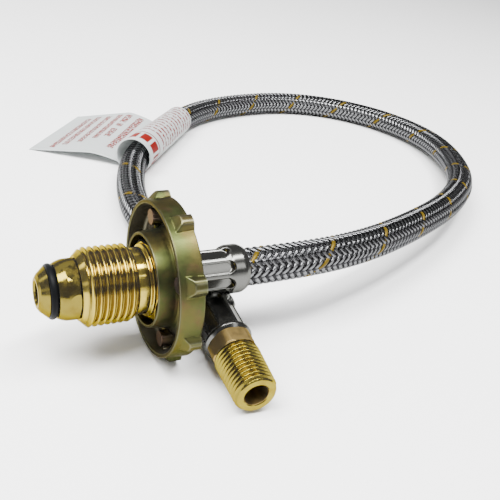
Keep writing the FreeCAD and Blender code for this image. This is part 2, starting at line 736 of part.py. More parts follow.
nodes = [
    "bullnose_spigot",
    "nose_o_ring",
    "coupling_nut",
    "handwheel",
    "inlet_ferrule",
    "hose_liner",
    "hose_braid",
    "wrap_label",
    "outlet_ferrule",
    "outlet_nipple",
]
for thing in doc.Objects:
    if "Invalid" in thing.State or "Error" in thing.State:
        raise RuntimeError("failed object: " + thing.Label)
for name in nodes:
    shape = doc.getObjectsByLabel(name)[0].Shape
    if shape.isNull() or not shape.isValid() or len(shape.Solids) != 1:
        raise RuntimeError("bad shape: " + name)

os.makedirs("parts", exist_ok=True)
for name in nodes:
    shape = doc.getObjectsByLabel(name)[0].Shape
    shape.exportStep("parts/%s.step" % name)
    print("%-16s %9.1f cubic mm, box %s" % (name, shape.Volume, shape.BoundBox))
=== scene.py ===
import math
import bpy
import numpy as np
from mathutils import Matrix, Vector


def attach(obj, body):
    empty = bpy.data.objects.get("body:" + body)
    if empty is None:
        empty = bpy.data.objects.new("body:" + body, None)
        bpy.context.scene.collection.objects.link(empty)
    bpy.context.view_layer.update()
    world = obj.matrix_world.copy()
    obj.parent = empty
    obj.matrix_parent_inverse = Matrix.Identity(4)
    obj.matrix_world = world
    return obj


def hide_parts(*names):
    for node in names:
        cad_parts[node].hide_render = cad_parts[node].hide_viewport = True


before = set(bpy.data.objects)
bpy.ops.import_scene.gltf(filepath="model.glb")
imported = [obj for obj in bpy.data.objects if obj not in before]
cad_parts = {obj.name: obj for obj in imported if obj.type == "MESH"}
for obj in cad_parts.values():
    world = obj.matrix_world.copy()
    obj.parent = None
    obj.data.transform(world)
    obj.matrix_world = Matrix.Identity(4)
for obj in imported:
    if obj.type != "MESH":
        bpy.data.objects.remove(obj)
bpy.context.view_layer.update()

mm = 0.001
tau = 2 * math.pi


# shader maths: a socket that can be added, multiplied and so on
class Value:
    def __init__(self, shader, socket):
        self.shader = shader
        self.socket = socket

    def maths(self, operation, *others):
        return self.shader.maths(operation, self, *others)

    def __add__(self, other):
        return self.maths("ADD", other)

    def __radd__(self, other):
        return self.maths("ADD", other)

    def __sub__(self, other):
        return self.maths("SUBTRACT", other)

    def __rsub__(self, other):
        return self.shader.maths("SUBTRACT", other, self)

    def __mul__(self, other):
        return self.maths("MULTIPLY", other)

    def __rmul__(self, other):
        return self.maths("MULTIPLY", other)

    def __truediv__(self, other):
        return self.maths("DIVIDE", other)

    def __rtruediv__(self, other):
        return self.shader.maths("DIVIDE", other, self)

    def ramp(self, low, high, start=0.0, end=1.0):  # a smooth step from start at low to end at high
        inputs = [self, low, high, start, end]
        return self.shader.node("ShaderNodeMapRange", inputs, interpolation_type="SMOOTHSTEP")


class Shader:
    def __init__(self, name, **constants):
        self.material = bpy.data.materials.new(name)
        self.material.use_nodes = True
        self.nodes = self.material.node_tree.nodes
        self.links = self.material.node_tree.links
        self.surface = self.nodes["Principled BSDF"]
        for socket, value in constants.items():
            self.set(socket.replace("_", " "), value)  # Base_Color stands for Base Color

    def set(self, socket, value):
        self.feed(self.surface.inputs[socket], value)

    def feed(self, socket, value):
        if isinstance(value, Value):
            self.links.new(value.socket, socket)
            return
        if isinstance(value, tuple) and len(socket.default_value) == 4:
            value = (*value, 1)
        socket.default_value = value

    def node(self, kind, inputs=(), output=0, **settings):
        made = self.nodes.new(kind)
        for key, value in settings.items():
            setattr(made, key, value)
        pairs = inputs.items() if isinstance(inputs, dict) else enumerate(inputs)
        for key, value in pairs:
            self.feed(made.inputs[key], value)
        return Value(self, made.outputs[output])

    def maths(self, operation, *inputs):
        return self.node("ShaderNodeMath", inputs, operation=operation)

    def place(self):
        return self.node("ShaderNodeTexCoord", output="Object")

    def noise(self, scale, detail=3.0, roughness=0.5, vector=None):
        inputs = {"Vector": vector or self.place(), "Scale": scale, "Detail": detail}
        return self.node("ShaderNodeTexNoise", inputs | {"Roughness": roughness})

    def stored(self, name):  # a value that makeMesh keeps on the mesh's points
        return self.node("ShaderNodeAttribute", output="Fac", attribute_name=name)

    def mix(self, factor, first, second):
        inputs = {0: factor, 6: first, 7: second}
        return self.node("ShaderNodeMix", inputs, output=2, data_type="RGBA")

    def bump(self, height, distance, strength=1.0):
        inputs = {"Height": height, "Distance": distance, "Strength": strength}
        self.set("Normal", self.node("ShaderNodeBump", inputs))


def makeMesh(name, points, faces, material, body, nodes=(), sharp=35, stored=None):
    mesh = bpy.data.meshes.new(name)
    mesh.from_pydata([tuple(point) for point in np.asarray(points)], [], faces)
    mesh.update()
    mesh.shade_smooth()
    mesh.set_sharp_from_angle(angle=math.radians(sharp))
    for key, values in (stored or {}).items():
        layer = mesh.attributes.new(key, "FLOAT", "POINT")
        layer.data.foreach_set("value", np.asarray(values, np.float32))
    piece = bpy.data.objects.new(name, mesh)
    bpy.context.scene.collection.objects.link(piece)
    piece.data.materials.append(material)
    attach(piece, body)
    if nodes:
        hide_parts(*nodes)
    return piece


def gridFaces(rows, columns, wrapColumns=False, start=0):
    down = np.arange(rows - 1)
    over = np.arange(columns if wrapColumns else columns - 1)
    row, column = np.meshgrid(down, over, indexing="ij")
    here = row * columns + start
    below = here + columns
    nextColumn = (column + 1) % columns
    quads = np.stack([here + column, below + column, below + nextColumn, here + nextColumn], -1)
    return quads.reshape(-1, 4).tolist()


def smoothstep(value, low, high):
    share = np.clip((value - low) / (high - low), 0, 1)
    return share * share * (3 - 2 * share)


# an outline of (along the axis, radius, fillet), its corners rounded and its lines divided
def roundedProfile(corners, spacing):
    arcSteps = 5
    points = []
    for index, (x, radius, fillet) in enumerate(corners):
        here = Vector((x, radius))
        if fillet and 0 < index < len(corners) - 1:
            back = (Vector(corners[index - 1][:2]) - here).normalized()
            ahead = (Vector(corners[index + 1][:2]) - here).normalized()
            half = back.angle(ahead) / 2
            reach = fillet / math.tan(half)
            middle = here + (back + ahead).normalized() * fillet / math.sin(half)
            first = here + back * reach - middle
            sweep = first.angle_signed(here + ahead * reach - middle)
            for step in range(arcSteps + 1):
                spoke = first.copy()
                spoke.rotate(Matrix.Rotation(-sweep * step / arcSteps, 2))
                points.append(tuple(middle + spoke))
        else:
            points.append(tuple(here))
    finer = [points[0]]
    for first, second in zip(points, points[1:]):
        steps = max(1, int(round(math.dist(first, second) / spacing)))
        for step in range(1, steps + 1):
            share = step / steps
            finer.append(tuple(a + (b - a) * share for a, b in zip(first, second)))
    return np.array(finer)


def latheGrid(profile, segments):
    x = np.repeat(profile[:, :1], segments, 1)
    radius = np.repeat(profile[:, 1:2], segments, 1)
    angle = np.repeat(np.arange(segments)[None, :] * tau / segments, len(profile), 0)
    return x, radius, angle


def latheMesh(x, radius, angle, place=None):
    points = np.stack([x, radius * np.cos(angle), radius * np.sin(angle)], -1).reshape(-1, 3)
    if place:
        origin, direction = place
        turn = np.array(Vector((1, 0, 0)).rotation_difference(Vector(direction)).to_matrix())
        points = points @ turn.T + np.array(origin)
    return points * mm, gridFaces(x.shape[0], x.shape[1], wrapColumns=True)


# the angle from the nearest of some evenly spaced places round the axis
def awayFrom(angle, count, turn):
    spacing = tau / count
    return (angle - turn + spacing / 2) % spacing - spacing / 2


def hexRadius(angle, flats, turn=0.0):
    return flats / 2 / np.cos(awayFrom(angle, 6, turn + tau / 4))


def between(value, low, high):
    return (value > low) & (value < high)


# the lowest of some surfaces, their edges rounded by the blend
def softest(surfaces, blend):
    stack = np.stack(surfaces)
    low = stack.min(axis=0)
    return low - blend * np.log(np.exp((low - stack) / blend).sum(axis=0))


# how high a thread stands, 0 at the root and 1 at the crest
def threadShare(x, angle, hand, size):
    crest, root = size["crestFlat"], size["rootFlat"]  # as shares of the pitch
    shifts = (-0.05, -0.025, 0, 0.025, 0.05)  # the mean over these rounds the flanks' ends
    share = 0
    for shift in shifts:
        phase = (x / size["pitch"] - hand * angle / tau + shift) % 1.0
        slope = np.abs(phase - 0.5) * 2
        share = share + np.clip((slope - root) / (1 - crest - root), 0, 1) / len(shifts)
    return share


# camera at the photograph's angle, its place in mm
view = {
    "place": (-45.52, -159.18, 109.11),
    "right": (0.8862, -0.4386, 0.1491),
    "up": (0.1012, 0.4974, 0.8616),
    "lens": 50.4,
    "sensor": 36,
    "clipStart": 10,
}
camera = bpy.data.objects.new("camera", bpy.data.cameras.new("camera"))
bpy.context.scene.collection.objects.link(camera)
right = Vector(view["right"]).normalized()
up = Vector(view["up"])
up = (up - right * up.dot(right)).normalized()
turn = Matrix((right, up, right.cross(up))).transposed().to_4x4()
camera.matrix_world = Matrix.Translation(Vector(view["place"]) * mm) @ turn
camera.data.lens = view["lens"]
camera.data.sensor_width = view["sensor"]
camera.data.clip_start = view["clipStart"] * mm
bpy.context.scene.camera = camera
print("camera done")


# floor and light
studio = {
    "floor": -24.0,  # the table's height from the connector's axis, in mm
    "floorReach": 40.0,  # metres, so far that its edge lies at the horizon
    "white": (0.9, 0.9, 0.9),
    "roughness": 0.9,
    "sky": 0.32,
    "aim": (0.05, 0, 0),
}
floorMaterial = Shader("floor", Base_Color=studio["white"], Roughness=studio["roughness"]).material
floorMesh = bpy.data.meshes.new("floor")
reach = studio["floorReach"]
corners = [(-reach, -reach, 0), (reach, -reach, 0), (reach, reach, 0), (-reach, reach, 0)]
floorMesh.from_pydata(corners, [], [(0, 1, 2, 3)])
floor = bpy.data.objects.new("floor", floorMesh)
floor.location.z = studio["floor"] * mm
floor.data.materials.append(floorMaterial)
bpy.context.scene.collection.objects.link(floor)

world = bpy.data.worlds.new("studio")
world.use_nodes = True
bpy.context.scene.world = world
sky = world.node_tree.nodes["Background"]
sky.inputs["Color"].default_value = (1, 1, 1, 1)
sky.inputs["Strength"].default_value = studio["sky"]

softboxes = [  # places and sizes in metres, powers in watts, turns in degrees
    {"name": "topLight", "place": (0.16, -0.19, 0.85), "turn": -8, "size": (0.95, 0.17), "power": 23.0},
    {"name": "leftTop", "place": (-0.36, 0.0, 0.78), "size": (0.4, 0.62), "power": 25.0},
    {"name": "frontCard", "place": (0.25, -0.95, 0.055), "size": (1.2, 0.15), "power": 1.1},
    {"name": "backCard", "place": (0.1, 0.95, 0.07), "size": (1.4, 0.18), "power": 1.8},
    {"name": "fluteCard", "place": (0.56, -0.83, 0.74), "size": (0.28, 0.45), "power": 2.4},
    {"name": "backTop", "place": (-0.2, 0.7, 0.75), "size": (1.2, 0.5), "power": 2.4},
    {"name": "leftCard", "place": (-0.8, 0.1, 0.12), "size": (0.5, 0.2), "power": 0.5},
    {"name": "coneCard", "place": (-0.64, 0.385, 0.255), "size": (0.14, 0.24), "power": 0.55},
]
for softbox in softboxes:
    lamp = bpy.data.lights.new(softbox["name"], "AREA")
    lamp.shape = "RECTANGLE"
    lamp.size, lamp.size_y = softbox["size"]
    lamp.energy = softbox["power"]
    light = bpy.data.objects.new(softbox["name"], lamp)
    light.location = softbox["place"]
    aim = (Vector(studio["aim"]) - light.location).to_track_quat("-Z", "Y")
    turned = Matrix.Rotation(math.radians(softbox.get("turn", 0)), 3, "Z")
    light.rotation_euler = (turned @ aim.to_matrix()).to_euler()
    bpy.context.scene.collection.objects.link(light)
print("studio done")


# the hose's line, as in the part's source
hose = {
    "route": [  # chosen along the photographed line, in mm
        (50.3, 0.0, 0.0),
        (74.0, 0.0, 0.0),
        (104.0, 8.5, -3.0),
        (136.0, 22.0, -5.5),
        (169.0, 39.5, -8.5),
        (200.1, 63.4, -11.8),
        (222.4, 94.4, -14.4),
        (234.5, 129.4, -16.5),
        (228.0, 163.0, -17.5),
        (205.2, 188.7, -18.0),
        (172.5, 199.3, -18.0),
        (132.8, 192.7, -17.9),
        (103.5, 177.8, -17.7),
        (78.5, 150.2, -17.5),
        (56.5, 124.7, -17.5),
        (45.5, 97.8, -17.9),
        (39.9, 70.7, -17.1),
        (41.5, 45.0, -14.6),
        (42.5, 22.9, -13.6),
        (41.2, 5.0, -14.6),
    ],
    "radius": 6.0,
    "step": 0.52,  # between the cross sections
    "hidden": 4.0,  # how far both layers run on inside a ferrule
    "liner": 5.3,
    "linerSides": 48,
    "linerEvery": 4,  # the liner has one in so many of the cross sections
    "pathStep": 4.0,
}


# the crossing bands of wires
braidWeave = {
    "carriers": 12,  # in each direction
    "wires": 8,  # side by side in a band
    "lay": 29.5,  # length of one turn
    "bandWidth": 1.42,
    "offsets": (-1.0, -0.82, -0.4, 0.0, 0.4, 0.82, 1.0),  # a band's points, as shares of half its width
    "crown": 0.24,
    "edgeDrop": 0.1,
    "undulation": 0.24,
    "plunge": 0.7,  # how sharply a band goes under
    "columnTurn": math.radians(138),
    "tracerTurn": math.radians(305),
    "tracer": (-1, 0),  # direction and carrier of the yellow band
    "steel": (0.165, 0.167, 0.172),
    # painted shade between wires, at band edges and where a band goes under
    "gap": (0.02, 0.02, 0.021),
    "yarn": (0.085, 0.055, 0.0008),
}


def readRoute(route):  # the same kind of curve as the solids'
    curve = bpy.data.curves.new("hoseLine", "CURVE")
    curve.dimensions = "3D"
    curve.resolution_u = 24
    spline = curve.splines.new("NURBS")
    spline.points.add(len(route) - 1)
    for point, place in zip(spline.points, route):
        point.co = (*(value * mm for value in place), 1)
    spline.order_u = 3
    spline.use_endpoint_u = True
    holder = bpy.data.objects.new("hoseLine", curve)
    bpy.context.scene.collection.objects.link(holder)
    line = bpy.data.meshes.new_from_object(holder)
    points = np.array([vertex.co for vertex in line.vertices]) / mm
    bpy.data.objects.remove(holder)
    return points


def distances(points):
    return np.concatenate([[0], np.cumsum(np.linalg.norm(np.diff(points, axis=0), axis=1))])


def evenLine(points, step):
    lengths = distances(points)
    count = int(round(lengths[-1] / step))
    even = np.linspace(0, lengths[-1], count + 1)
    return np.stack([np.interp(even, lengths, points[:, axis]) for axis in range(3)], 1)


def lineFrames(points):
    tangents = np.gradient(points, axis=0)
    tangents /= np.linalg.norm(tangents, axis=1)[:, None]
    side = np.cross(tangents[0], (0, 0, 1.0))
    sides = []
    for tangent in tangents:
        side = side - tangent * (side @ tangent)
        side /= np.linalg.norm(side)
        sides.append(side)
    sides = np.array(sides)
    return tangents, sides, np.cross(tangents, sides)


def withEnds(points, reach, step):  # run straight on at both ends
    count = int(reach / step)
    steps = np.arange(1, count + 1)[:, None] * step
    first = points[0] - points[1]
    last = points[-1] - points[-2]
    head = points[0] + steps[::-1] * first / np.linalg.norm(first)
    tail = points[-1] + steps * last / np.linalg.norm(last)
    return np.concatenate([head, points, tail])


exitPoints = readRoute(hose["route"])
line = withEnds(evenLine(exitPoints, hose["step"]), hose["hidden"], hose["step"])
tangents, sides, ups = lineFrames(line)
travel = distances(line) - hose["hidden"]


def hosePoint(angle, radius, index=slice(None)):
    spoke = np.cos(angle)[:, None] * sides[index] + np.sin(angle)[:, None] * ups[index]
    return line[index] + radius[:, None] * spoke


def bandMesh(carrier, direction):
    weave = braidWeave
    helixTurn = direction * tau * travel / weave["lay"]
    middle = weave["tracerTurn"] + carrier * tau / weave["carriers"] + helixTurn
    over = np.cos(weave["carriers"] / 2 * middle - weave["columnTurn"])  # 1 over the other bands, -1 under
    plunge = weave["plunge"]
    lift = direction * weave["undulation"] * np.tanh(plunge * over) / math.tanh(plunge)
    helix = math.atan2(tau * hose["radius"], weave["lay"])
    rows = []
    for offset in weave["offsets"]:
        shift = offset * weave["bandWidth"] / 2
        crown = -weave["crown"] * offset ** 2 - (weave["edgeDrop"] if abs(offset) == 1 else 0)
        angle = middle + shift * math.cos(helix) / hose["radius"]
        radius = hose["radius"] - weave["undulation"] + lift + crown
        rows.append(hosePoint(angle, radius) - tangents * direction * shift * math.sin(helix))
    return np.stack(rows, 1), direction * over


def makeBraidSteel():
    shader = Shader("braidSteel", Metallic=1.0, Roughness=0.15, Specular_Tint=(0.45, 0.45, 0.45))
    across = shader.stored("across")
    # painted shade: darker between the wires, at the bands' edges and where a band goes under another
    ridges = (across * (braidWeave["wires"] * math.pi / 2)).maths("SINE").maths("ABSOLUTE")
    edge = across.maths("ABSOLUTE").ramp(0.7, 1.0)
    shade = ridges.ramp(0.0, 0.5, 0.4, 1.0) * (1 - edge) * shader.stored("height").ramp(-0.1, 0.75)
    shader.set("Base Color", shader.mix(shade, braidWeave["gap"], braidWeave["steel"]))
    shader.bump(ridges, 0.00006, 0.4)
    return shader


def makeTracerYarn():
    shader = Shader("tracerYarn", Base_Color=braidWeave["yarn"], Metallic=0.3, Roughness=0.4)
    shader.set("Specular IOR Level", 0.2)
    return shader


def makeBraid():
    points, faces, strips, heights = [], [], [], []
    for direction in (1, -1):
        for carrier in range(braidWeave["carriers"]):
            grid, height = bandMesh(carrier, direction)
            rows, columns = grid.shape[:2]
            start = len(points) * rows * columns
            if (direction, carrier) == braidWeave["tracer"]:
                firstTracer, lastTracer = start, start + rows * columns
            faces += gridFaces(rows, columns, start=start)
            points.append(grid.reshape(-1, 3))
            strips.append(np.tile(braidWeave["offsets"], rows))
            # over or under, for the painted shade where a band goes under
            heights.append(np.repeat(height, columns))
    piece = makeMesh(
        "braid", np.concatenate(points) * mm, faces, makeBraidSteel().material,
        "hose_set", ["hose_braid"],
        sharp=60, stored={"across": np.concatenate(strips), "height": np.concatenate(heights)},
    )
    piece.data.materials.append(makeTracerYarn().material)
    for polygon in piece.data.polygons:
        if firstTracer <= polygon.vertices[0] < lastTracer:
            polygon.material_index = 1
    return piece


def makeLiner():
    shader = Shader("linerRubber", Base_Color=(0.02, 0.02, 0.022), Roughness=0.6)
    every = slice(None, None, hose["linerEvery"])
    count = len(line[every])
    rings = []
    for side in range(hose["linerSides"]):
        angle = np.full(count, side * tau / hose["linerSides"])
        rings.append(hosePoint(angle, np.full(count, hose["liner"]), every))
    grid = np.stack(rings, 1)
    return makeMesh(
        "liner", grid.reshape(-1, 3) * mm, gridFaces(*grid.shape[:2], wrapColumns=True), shader.material,
        "hose_set", ["hose_liner"],
    )


liner = makeLiner()
braid = makeBraid()


# brass of the three turned pieces: color and roughness; one brass in lighter and darker copies, painted
# light and shade
brasses = {
    "brass": ((0.21, 0.166, 0.02), 0.17),
    "nutBrass": ((0.36, 0.276, 0.04), 0.11),
    "spigotBrass": ((0.146, 0.114, 0.016), 0.15),
}


def scaled(color, shares):
    return tuple(value * share for value, share in zip(color, shares))


def makeBrass(name, color, rough):
    gloss = {"Specular_Tint": (0.6, 0.52, 0.3), "Sheen_Weight": 0.022, "Sheen_Roughness": 0.8}
    shader = Shader(name, Metallic=1.0, **gloss)
    stained = scaled(color, (0.82, 0.76, 0.66))
    rootShaded = scaled(color, (0.6, 0.6, 0.6))
    # painted light: a lighter, greyer copy of the colour lifts the hexagon and bore
    unpolishedLit = scaled(color, (1.15, 1.0, 2.6))
    mottled = shader.mix(shader.noise(240, 4, 0.6).ramp(0.42, 0.7), color, stained)
    threaded = shader.mix(shader.stored("root"), mottled, rootShaded)  # painted shade in the thread's root
    shader.set("Base Color", shader.mix(shader.stored("unpolishedLit"), threaded, unpolishedLit))
    polish = shader.noise(700, 2).ramp(0.3, 0.7, rough - 0.04, rough + 0.07)
    shader.set("Roughness", shader.stored("unpolishedLit") * 0.28 + polish)
    shader.bump(shader.noise(2500, 2), 0.00001, 0.3)
    return shader


nippleShader, nutShader, spigotShader = [makeBrass(name, *tone) for name, tone in brasses.items()]


# yellow passivated zinc
zinc = {
    "yellow": (0.062, 0.052, 0.015),
    "green": (0.043, 0.051, 0.015),
    "blush": (0.075, 0.042, 0.022),
    # painted light and shade: the front channel's own greyer, lighter tone
    "recess": (0.078, 0.072, 0.056),
    "pad": (0.09, 0.06, 0.045),
    # painted shade for the front-facing surfaces
    "front": (0.034, 0.03, 0.009),
    # painted highlight for the profile's edges and the lugs' ridges
    "paintedHighlight": (0.14, 0.143, 0.095),
    "gloss": {"Specular_Tint": (0.5, 0.46, 0.38), "Sheen_Weight": 0.012, "Sheen_Roughness": 0.8},
}


def makeZinc():
    shader = Shader("zinc", Metallic=1.0, **zinc["gloss"])
    color = shader.mix(shader.noise(90, 3).ramp(0.4, 0.62), zinc["yellow"], zinc["green"])
    color = shader.mix(shader.noise(130, 4, 0.6).ramp(0.5, 0.72) * 0.8, color, zinc["blush"])
    # painted light and shade in the front channel
    color = shader.mix(shader.stored("recess") * 0.8, color, zinc["recess"])
    color = shader.mix(shader.stored("pad"), color, zinc["pad"])
    # painted shade on the front-facing surfaces
    color = shader.mix(shader.stored("front"), color, zinc["front"])
    # painted highlight along the profile's edges and the lugs' ridges
    shader.set("Base Color", shader.mix(shader.stored("wear") * 0.6, color, zinc["paintedHighlight"]))
    shader.set("Roughness", shader.noise(500, 3).ramp(0.3, 0.7, 0.34, 0.44))
    shader.bump(shader.noise(1400, 3, 0.6), 0.00004, 0.35)
    return shader


zincShader = makeZinc()
steelShader = Shader("steel", Base_Color=(0.095, 0.095, 0.089), Metallic=1.0, Roughness=0.21)
steelShader.set("Specular Tint", (0.5, 0.5, 0.48))
steelShader.set("Sheen Weight", 0.04)
rubberShader = Shader("rubber", Base_Color=(0.003, 0.0033, 0.0036), Roughness=0.42)
rubberShader.set("Specular IOR Level", 0.045)


# coupling nut
nut = {
    "profile": [  # along the axis, radius, fillet
        (-1.65, 6.15, 0),
        (-2.4, 6.9, 0),
        (-2.4, 9.0, 0.15),
        (-0.225, 11.175, 0),
        (11.4, 11.175, 0),
        (12.925, 9.65, 0.3),
        (16.2, 9.65, 0.3),
        (16.7, 10.55, 0.3),
        (17.4, 10.55, 0),
        (17.4, 10.75, 0),
        (18.3, 12.41, 0),
        (27.1, 12.41, 0),
        (28.0, 10.75, 0.15),
        (28.0, 6.15, 0),
        (20.0, 6.15, 0),
    ],
    "spacing": 0.075,
    "segments": 180,
    "crest": 11.175,
    "pitch": 1.814,
    "depth": 1.08,
    "crestFlat": 0.16,
    "rootFlat": 0.12,
    "threadPhase": 0.9,
    "threadSpan": (-2.39, 12.9),  # along the axis
    "threadInside": 9,  # points within this radius aren't cut
    "hexFlats": 21.5,
    "hexTurn": math.radians(-17),
    "hexSpan": (17.4, 28.0),
    "hexInside": 10.7,
}


def makeNut():
    x, radius, angle = latheGrid(roundedProfile(nut["profile"], nut["spacing"]), nut["segments"])
    leftHand = -1
    share = threadShare(x + nut["threadPhase"], angle, leftHand, nut)
    threaded = nut["crest"] - nut["depth"] * (1 - share)
    cut = between(x, *nut["threadSpan"]) & (radius > nut["threadInside"])
    radius = np.where(cut, np.minimum(radius, threaded), radius)
    hexagon = hexRadius(angle, nut["hexFlats"], nut["hexTurn"])
    hexed = between(x, *nut["hexSpan"]) & (radius > nut["hexInside"])
    radius = np.where(hexed, np.minimum(radius, hexagon), radius)
    points, faces = latheMesh(x, radius, angle)
    return makeMesh(
        "threadedNut", points, faces, nutShader.material, "coupling", ["coupling_nut"],
        # the stored root mask carries the painted shade in the thread's root
        sharp=42, stored={"root": (cut * (1 - share)).ravel()},
    )


# handwheel
wheel = {
    "profile": [  # along the axis, radius, fillet
        (21.0, 10.4, 0),
        (21.0, 13.0, 0.4),
        (16.7, 13.0, 0.25),
        (16.7, 13.8, 0.3),
        (24.1, 14.8, 3.2),
        (24.1, 20.6, 1.2),
        (19.3, 21.8, 0.35),
        (19.3, 22.9, 0.4),
        (26.3, 23.4, 0.35),
        (26.3, 15.0, 0.6),
        (27.6, 14.2, 0.4),
        (27.6, 10.4, 0),
    ],
    "spacing": 0.2,
    "segments": 720,
    # profile edges that get a painted highlight, and how far it spreads
    "highlightEdges": [(16.7, 13.0), (16.7, 13.8), (19.3, 21.8), (19.3, 22.9), (26.3, 23.4)],
    "highlightSpread": 0.04,
    "lugs": 8,
    "lugTurn": 19.5,  # of one lug from straight up, in degrees
    "lugTip": 25.15,
    "lugFront": 21.1,
    "lugStart": 22.95,
    "lugBevel": 1.9,
    "lugTop": 1.6,
    "lugShoulder": 3.2,
    "lugBase": 6.6,
    "lugDrop": 0.4,
    "lugRoot": 22.35,
    "lugBlend": 0.1,
    "ridgeWidth": 0.16,
    "ridgeHeight": 0.5,
    # share of the painted highlight on the lugs' ridges
    "ridgeHighlight": 0.7,
    "rimInside": 22.2,
    "rimFrom": 19.9,
    "channelRadii": (13.9, 22.0),
    "channelSpan": (19.5, 24.2),
    # where the channel's painted tone fades in
    "recessEdge": (14.6, 16.2),
    "ribs": 4,
    "ribTop": 21.7,
    "ribEdge": (0.3, 0.6),
    "padTop": 20.6,
    "padPlace": 17.8,
    "padEdge": (2.3, 2.6),
    # how much less of the channel's painted tone the pads get
    "padSpared": 0.4,
    # faces in front of these places get painted shade
    "hubFront": 17.0,
    "rimFront": (19.6, 21.4),  # in front of the first and outside the second
}


# lugs on the rim's outside and back
def raiseLugs(x, radius, angle):
    away = awayFrom(angle, wheel["lugs"], math.radians(wheel["lugTurn"] + 90))
    offset = np.abs(radius * np.sin(away))
    top, shoulder, base = (wheel[key] / 2 for key in ("lugTop", "lugShoulder", "lugBase"))
    tip, start, drop = wheel["lugTip"], wheel["lugStart"], wheel["lugDrop"]
    bevel = start + (x - wheel["lugFront"]) * (tip - start) / wheel["lugBevel"]
    crown = tip - drop * (offset - top) / (shoulder - top)
    flank = tip - drop - (offset - shoulder) * (tip - drop - wheel["lugRoot"]) / (base - shoulder)
    surfaces = [bevel, crown, flank, np.full_like(x, tip)]
    lug = softest(surfaces, wheel["lugBlend"]) / np.cos(away)
    outside = (radius > wheel["rimInside"]) & (x > wheel["rimFrom"])
    raised = np.where(outside, np.maximum(radius, lug), radius)
    # ridges where the lug's faces meet, for the painted highlight
    lowest, second = np.sort(np.stack(surfaces), axis=0)[:2]
    ridge = np.exp(-((second - lowest) / wheel["ridgeWidth"]) ** 2)
    return raised, ridge * (raised > radius + wheel["ridgeHeight"])


# ribs and round pads in the front channel, in line with every other lug
def raiseRibs(x, radius, angle):
    away = awayFrom(angle, wheel["ribs"], math.radians(wheel["lugTurn"] + 45))
    offset = np.abs(radius * np.sin(away))
    channel = between(radius, *wheel["channelRadii"]) & between(x, *wheel["channelSpan"])
    ribShare = 1 - smoothstep(offset, *wheel["ribEdge"])
    padOffset = np.hypot(offset, radius * np.cos(away) - wheel["padPlace"])
    padShare = 1 - smoothstep(padOffset, *wheel["padEdge"])
    lifted = x + np.minimum(0, wheel["ribTop"] - x) * ribShare
    lifted = np.minimum(lifted, x + np.minimum(0, wheel["padTop"] - x) * padShare)
    # mask of the channel's painted light and shade, less on the pads
    recess = channel * smoothstep(radius, *wheel["recessEdge"]) * (1 - wheel["padSpared"] * padShare)
    return np.where(channel, lifted, x), recess, channel * padShare


def makeWheel():
    x, radius, angle = latheGrid(roundedProfile(wheel["profile"], wheel["spacing"]), wheel["segments"])
    # painted highlight near the profile's sharp edges
    wear = 0
    for place, edge in wheel["highlightEdges"]:
        wear = wear + np.exp(-((x - place) ** 2 + (radius - edge) ** 2) / wheel["highlightSpread"])
    radius, ridge = raiseLugs(x, radius, angle)
    x, recess, pad = raiseRibs(x, radius, angle)
    rimFront, rimInside = wheel["rimFront"]
    stored = {
        "wear": np.clip(wear + wheel["ridgeHighlight"] * ridge, 0, 1).ravel(),
        "recess": recess.ravel(),
        "pad": pad.ravel(),
        # front-facing surfaces, which get painted shade
        "front": ((x < wheel["hubFront"]) | ((x < rimFront) & (radius > rimInside))).ravel(),
    }
    points, faces = latheMesh(x, radius, angle)
    return makeMesh(
        "castWheel", points, faces, zincShader.material, "coupling", ["handwheel"],
        sharp=38, stored=stored,
    )


# crimped ferrules
ferrule = {
    "profile": [  # from the flange's end along the hose, radius, fillet
        (1.0, 4.95, 0),
        (0.0, 4.95, 0),
        (0.0, 6.3, 0.2),
        (0.9, 7.35, 0.4),
        (1.7, 7.35, 0.4),
        (2.6, 6.65, 0.3),
        (13.7, 6.65, 0.8),
        (15.3, 7.55, 2.6),
        (19.4, 7.55, 2.6),
        (21.0, 6.7, 0.3),
        (21.0, 6.15, 0.1),
        (19.4, 6.15, 0),
        (18.8, 6.95, 0),
        (16.1, 6.95, 0),
    ],
    "spacing": 0.16,
    "segments": 384,
    "length": 21.0,
    "middle": 10,  # a shorter ferrule loses its length beyond this
    "flutes": 8,
    "flat": 6.15,
    "crest": 6.75,
    "halfWidth": 2.0,
    "sag": 0.12,
    "fluteEnd": 15.9,
    "fluteSpan": (1.8, 17),
    "fluteInside": 6.4,
    "fluteEdge": (-0.1, 0.4),  # a smooth step from outside to inside the flute
    "endEdge": 0.9,  # how much wider the edge is at the flute's round end
    "flare": (1.7, 2.6),  # where the flats run out toward the flange
    "inletStart": 29.3,
    "inletTurn": math.radians(6.2),
    "inletShorter": 1.8,  # the photograph shows this one shorter
}


def makeFerrule(name, node, place, turn, shorter=0.0):
    corners = []
    for x, radius, fillet in ferrule["profile"]:
        corners.append((x - shorter * (x > ferrule["middle"]), radius, fillet))
    x, radius, angle = latheGrid(roundedProfile(corners, ferrule["spacing"]), ferrule["segments"])
    away = awayFrom(angle, ferrule["flutes"], turn)
    half = ferrule["halfWidth"]
    roundFrom = ferrule["fluteEnd"] - shorter - half
    offset = np.abs(radius * np.sin(away))
    inside = half - np.hypot(offset, np.clip(x - roundFrom, 0, None))
    towardEnd = np.clip((x - roundFrom) / half, 0, 1)
    outerEdge, innerEdge = ferrule["fluteEdge"]
    share = smoothstep(inside, outerEdge, innerEdge + ferrule["endEdge"] * towardEnd)
    flare = (ferrule["crest"] - ferrule["flat"]) * (1 - smoothstep(x, *ferrule["flare"]))
    sag = ferrule["sag"] * np.clip(1 - (offset / half) ** 2, 0, 1)
    flat = (ferrule["flat"] + flare) / np.cos(away) - sag
    outer = (radius > ferrule["fluteInside"]) & between(x, *ferrule["fluteSpan"])
    radius = np.where(outer, radius + (np.minimum(radius, flat) - radius) * share, radius)
    points, faces = latheMesh(x, radius, angle, place)
    return makeMesh(name, points, faces, steelShader.material, "hose_set", [node], sharp=40)


